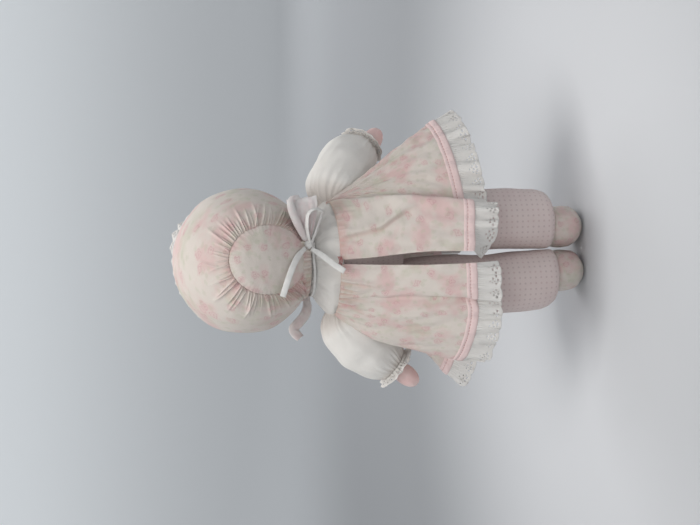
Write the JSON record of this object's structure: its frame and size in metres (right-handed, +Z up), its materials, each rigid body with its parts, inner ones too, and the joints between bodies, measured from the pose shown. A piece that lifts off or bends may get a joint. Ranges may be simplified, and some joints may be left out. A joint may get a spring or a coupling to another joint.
{
  "type": "stuffed rag doll",
  "caption": "Standing stuffed cloth doll in a gathered bonnet, puffed sleeves, floral skirt with eyelet lace, pin-dot legs and cloth bootees; head, arms and legs move.",
  "frame": {"origin": "on the floor, under the middle of the standing doll", "axes": "+Z up, the doll faces -Y, its left hand is towards +X"},
  "size_m": [0.2844, 0.179, 0.4152],
  "materials": {
    "pin_dot_cotton": "pale pink cotton with small grey-pink pin dots",
    "stuffing": "white polyester fibre filling",
    "white_cotton": "plain white cotton lawn, matt",
    "twill_tape": "white cotton twill tape",
    "satin_ribbon": "thin pale pink satin ribbon, soft sheen",
    "floral_cotton": "cream cotton with faded pink roses and pale green leaves",
    "pink_binding": "pink cotton bias binding, stitched",
    "eyelet_lace": "white broderie anglaise with eyelets and a scalloped edge",
    "skin_cotton": "pink skin-coloured cotton",
    "eye_thread": "dark brown satin stitch",
    "mouth_thread": "dusty red satin stitch"
  },
  "bodies": {
    "trunk": {"torso": "pin_dot_cotton", "torso_stuffing": "stuffing", "bodice": "white_cotton", "neck_casing": "white_cotton", "neck_tape": "twill_tape", "closure_stitch": "mouth_thread", "tie_knot": "twill_tape", "tie_loop_narrow": "twill_tape", "tie_loop_wide": "satin_ribbon", "tie_tail_up": "twill_tape", "tie_tail_down": "twill_tape", "skirt_left": "floral_cotton", "skirt_right": "floral_cotton", "hem_binding_left": "pink_binding", "hem_binding_right": "pink_binding", "hem_lace_left": "eyelet_lace", "hem_lace_right": "eyelet_lace"},
    "neck": {"neck": "skin_cotton"},
    "head": {"head": "skin_cotton", "head_stuffing": "stuffing", "left_eye": "eye_thread", "right_eye": "eye_thread", "nose": "skin_cotton", "mouth": "mouth_thread", "bonnet_back": "floral_cotton", "bonnet_crown": "floral_cotton", "bonnet_band": "floral_cotton", "brim_lace": "eyelet_lace", "chin_strap": "satin_ribbon", "chin_knot": "satin_ribbon", "chin_loop_left": "satin_ribbon", "chin_loop_right": "satin_ribbon", "chin_tail_left": "satin_ribbon", "chin_tail_right": "satin_ribbon"},
    "left_arm": {"left_sleeve": "white_cotton", "left_arm": "stuffing", "left_cuff_elastic": "white_cotton", "left_cuff_lace": "eyelet_lace", "left_hand": "skin_cotton"},
    "left_leg": {"left_leg": "pin_dot_cotton", "left_leg_stuffing": "stuffing", "left_shoe": "floral_cotton", "left_sole": "floral_cotton"},
    "right_arm": {"right_sleeve": "white_cotton", "right_arm": "stuffing", "right_cuff_elastic": "white_cotton", "right_cuff_lace": "eyelet_lace", "right_hand": "skin_cotton"},
    "right_leg": {"right_leg": "pin_dot_cotton", "right_leg_stuffing": "stuffing", "right_shoe": "floral_cotton", "right_sole": "floral_cotton"}
  },
  "joints": [
    {"name": "neck_nod", "type": "hinge", "parent": "trunk", "child": "neck", "pos_m": [0, 0, 0.284], "axis": [1, 0, 0], "range_deg": [-8, 12], "deforming": ["tie_tail_up", "tie_loop_wide", "chin_tail_left", "chin_tail_right", "chin_strap", "chin_knot", "chin_loop_left", "chin_loop_right", "tie_knot", "tie_loop_narrow", "tie_tail_down", "brim_lace"]},
    {"name": "neck_turn", "type": "hinge", "parent": "neck", "child": "head", "pos_m": [0, 0, 0.284], "axis": [0, 0, 1], "range_deg": [-40, 40], "deforming": ["tie_tail_up", "tie_loop_wide", "chin_tail_left", "chin_tail_right", "chin_strap", "chin_knot", "chin_loop_left", "chin_loop_right", "tie_knot", "tie_loop_narrow", "tie_tail_down", "brim_lace"]},
    {"name": "left_shoulder", "type": "hinge", "parent": "trunk", "child": "left_arm", "pos_m": [0.058, -0.002, 0.266], "axis": [-1, 0, 0], "range_deg": [-15, 90], "deforming": ["skirt_left", "hem_binding_left", "hem_lace_left", "chin_tail_left", "chin_loop_left", "tie_loop_wide", "brim_lace"]},
    {"name": "left_hip", "type": "hinge", "parent": "trunk", "child": "left_leg", "pos_m": [0.0315, 0, 0.18], "axis": [-1, 0, 0], "range_deg": [-15, 85], "deforming": ["skirt_left", "skirt_right", "hem_binding_left", "hem_binding_right", "hem_lace_left", "hem_lace_right"]},
    {"name": "right_shoulder", "type": "hinge", "parent": "trunk", "child": "right_arm", "pos_m": [-0.058, -0.002, 0.266], "axis": [-1, 0, 0], "range_deg": [-15, 90], "deforming": ["skirt_right", "hem_binding_right", "hem_lace_right", "chin_tail_right", "chin_loop_right", "tie_loop_wide", "brim_lace"]},
    {"name": "right_hip", "type": "hinge", "parent": "trunk", "child": "right_leg", "pos_m": [-0.0315, 0, 0.18], "axis": [-1, 0, 0], "range_deg": [-15, 85], "deforming": ["skirt_left", "skirt_right", "hem_binding_left", "hem_binding_right", "hem_lace_left", "hem_lace_right"]}
  ]
}
